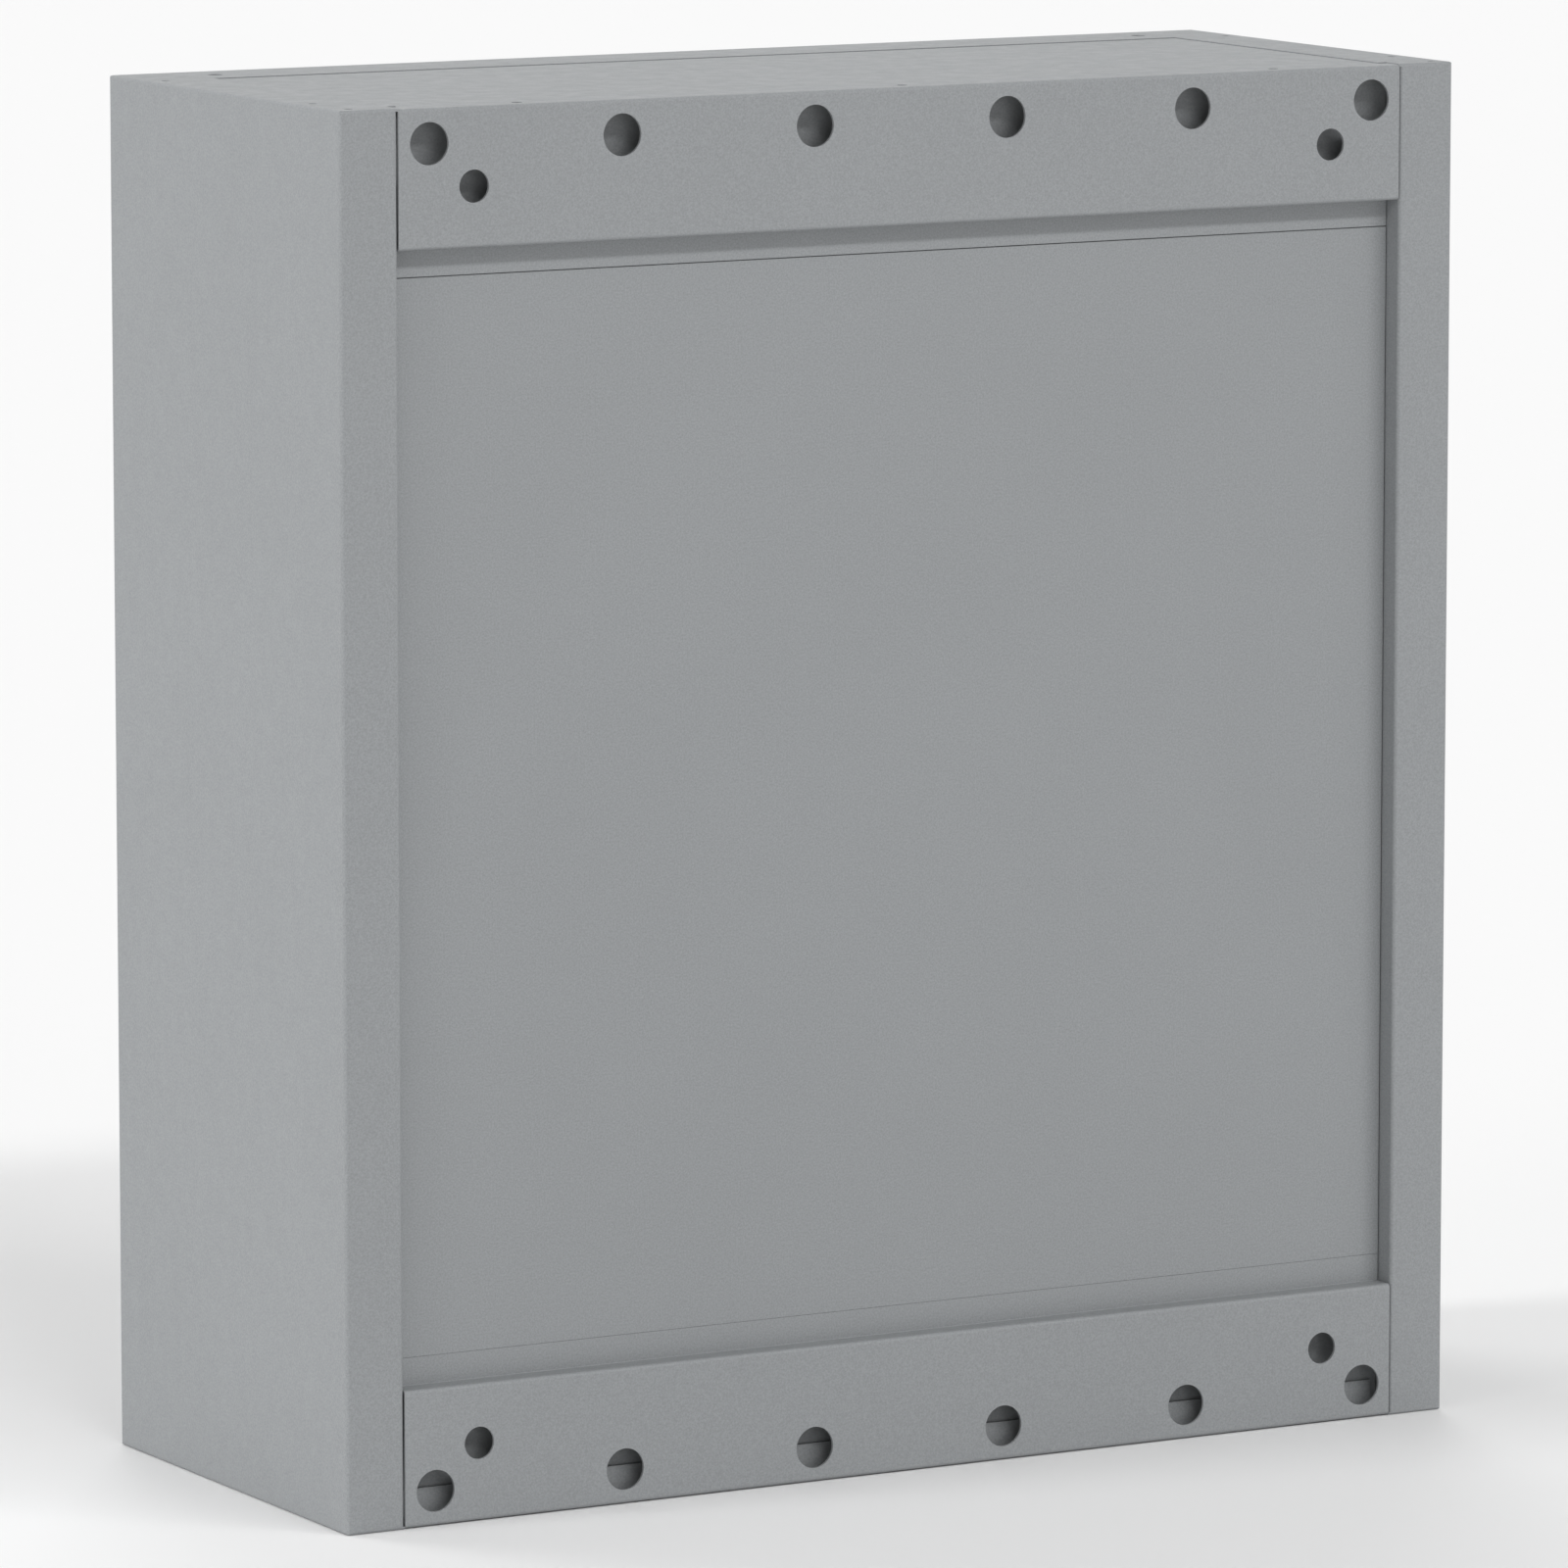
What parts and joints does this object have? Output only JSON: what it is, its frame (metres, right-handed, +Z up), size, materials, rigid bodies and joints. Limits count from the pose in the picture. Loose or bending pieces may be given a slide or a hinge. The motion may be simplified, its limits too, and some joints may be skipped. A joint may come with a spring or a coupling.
{
  "type": "residential load center",
  "caption": "Grey sheet-steel distribution board: a shallow box with a recessed rear panel between drilled rails, and a hinged front door over rows of rail-mounted devices.",
  "frame": {"origin": "centre of the case's footprint on the plane it stands on", "axes": "+Z up, -Y towards the door, +Y towards the wall behind, +X to the right as seen from the door"},
  "size_m": [0.6, 0.24, 0.66],
  "materials": {
    "case_powder_coat": "fine-textured grey powder coat, semi-matt",
    "door_powder_coat": "fine-textured grey powder coat, semi-matt",
    "zinc_plate": "bright zinc plate",
    "lock_chrome": "satin nickel-chrome on die-cast zinc",
    "seal_rubber": "matt black foam rubber",
    "cover_paint": "smooth off-white powder coat",
    "strip_plastic": "light grey moulded plastic",
    "device_plastic": "off-white fine-textured moulded plastic",
    "lever_black": "black moulded plastic",
    "lever_red": "red moulded plastic",
    "button_yellow": "yellow moulded plastic",
    "holder_plastic": "black glass-filled plastic",
    "bar_brass": "drawn brass",
    "comb_copper": "rolled copper"
  },
  "bodies": {
    "enclosure": {"right_side_wall": "case_powder_coat", "left_side_wall": "case_powder_coat", "front_frame": "case_powder_coat", "top_wall": "case_powder_coat", "bottom_wall": "case_powder_coat", "rear_panel": "case_powder_coat", "upper_backing_strip": "case_powder_coat", "lower_backing_strip": "case_powder_coat", "gland_tray": "case_powder_coat", "gland_screws": "zinc_plate", "left_upright": "zinc_plate", "right_upright": "zinc_plate", "upright_brackets": "zinc_plate", "upright_bolts": "zinc_plate", "din_rail_1": "zinc_plate", "din_rail_2": "zinc_plate", "din_rail_3": "zinc_plate", "din_rail_4": "zinc_plate", "din_rail_screws": "zinc_plate", "cover_posts": "zinc_plate", "cover_screws": "zinc_plate", "terminal_screws": "zinc_plate", "cable_grommets": "seal_rubber", "door_seal": "seal_rubber", "device_cover_1": "cover_paint", "device_cover_2": "cover_paint", "device_cover_3": "cover_paint", "terminal_cover": "cover_paint", "blanking_strips": "strip_plastic", "main_switch_body": "device_plastic", "rcd_body": "device_plastic", "breaker_1_body": "device_plastic", "breaker_2_body": "device_plastic", "breaker_3_body": "device_plastic", "breaker_4_body": "device_plastic", "breaker_5_body": "device_plastic", "breaker_6_body": "device_plastic", "bar_holders": "holder_plastic", "hinge_bushes": "holder_plastic", "neutral_bar": "bar_brass", "earth_bar": "bar_brass", "comb_busbar": "comb_copper"},
    "door": {"door_panel": "door_powder_coat", "door_stiffeners": "door_powder_coat", "hinge_blocks": "zinc_plate", "hinge_pins": "zinc_plate", "lock_housing": "lock_chrome", "lock_nut": "zinc_plate"},
    "lock_barrel": {"lock_core": "lock_chrome", "lock_cam": "zinc_plate", "cam_screw": "zinc_plate"},
    "main_switch_lever_body": {"main_switch_lever": "lever_red"},
    "rcd_lever_body": {"rcd_lever": "lever_black"},
    "breaker_1_lever_body": {"breaker_1_lever": "lever_black"},
    "breaker_2_lever_body": {"breaker_2_lever": "lever_black"},
    "breaker_3_lever_body": {"breaker_3_lever": "lever_black"},
    "breaker_4_lever_body": {"breaker_4_lever": "lever_black"},
    "breaker_5_lever_body": {"breaker_5_lever": "lever_black"},
    "breaker_6_lever_body": {"breaker_6_lever": "lever_black"},
    "test_button": {"rcd_test_button": "button_yellow"}
  },
  "joints": [
    {"name": "door_hinge", "type": "hinge", "parent": "enclosure", "child": "door", "pos_m": [0.263, -0.1129, 0.33], "axis": [0, 0, 1], "range_deg": [0, 105]},
    {"name": "lock_quarter_turn", "type": "hinge", "parent": "door", "child": "lock_barrel", "pos_m": [-0.236, -0.11, 0.33], "axis": [0, -1, 0], "range_deg": [0, 90]},
    {"name": "main_switch_throw", "type": "hinge", "parent": "enclosure", "child": "main_switch_lever_body", "pos_m": [-0.18375, -0.082, 0.555], "axis": [-1, 0, 0], "range_deg": [0, 80]},
    {"name": "rcd_throw", "type": "hinge", "parent": "enclosure", "child": "rcd_lever_body", "pos_m": [-0.1225, -0.082, 0.555], "axis": [-1, 0, 0], "range_deg": [0, 80]},
    {"name": "breaker_1_throw", "type": "hinge", "parent": "enclosure", "child": "breaker_1_lever_body", "pos_m": [-0.07875, -0.082, 0.555], "axis": [-1, 0, 0], "range_deg": [0, 80]},
    {"name": "breaker_2_throw", "type": "hinge", "parent": "enclosure", "child": "breaker_2_lever_body", "pos_m": [-0.06125, -0.082, 0.555], "axis": [-1, 0, 0], "range_deg": [0, 80]},
    {"name": "breaker_3_throw", "type": "hinge", "parent": "enclosure", "child": "breaker_3_lever_body", "pos_m": [-0.04375, -0.082, 0.555], "axis": [-1, 0, 0], "range_deg": [0, 80]},
    {"name": "breaker_4_throw", "type": "hinge", "parent": "enclosure", "child": "breaker_4_lever_body", "pos_m": [-0.02625, -0.082, 0.555], "axis": [-1, 0, 0], "range_deg": [0, 80]},
    {"name": "breaker_5_throw", "type": "hinge", "parent": "enclosure", "child": "breaker_5_lever_body", "pos_m": [-0.00875, -0.082, 0.555], "axis": [-1, 0, 0], "range_deg": [0, 80]},
    {"name": "breaker_6_throw", "type": "hinge", "parent": "enclosure", "child": "breaker_6_lever_body", "pos_m": [0.00875, -0.082, 0.555], "axis": [-1, 0, 0], "range_deg": [0, 80]},
    {"name": "test_button_press", "type": "slide", "parent": "enclosure", "child": "test_button", "axis": [0, 1, 0], "range_m": [0, 0.0015], "stiffness_N_per_m": 300, "springref_m": -0.002}
  ]
}
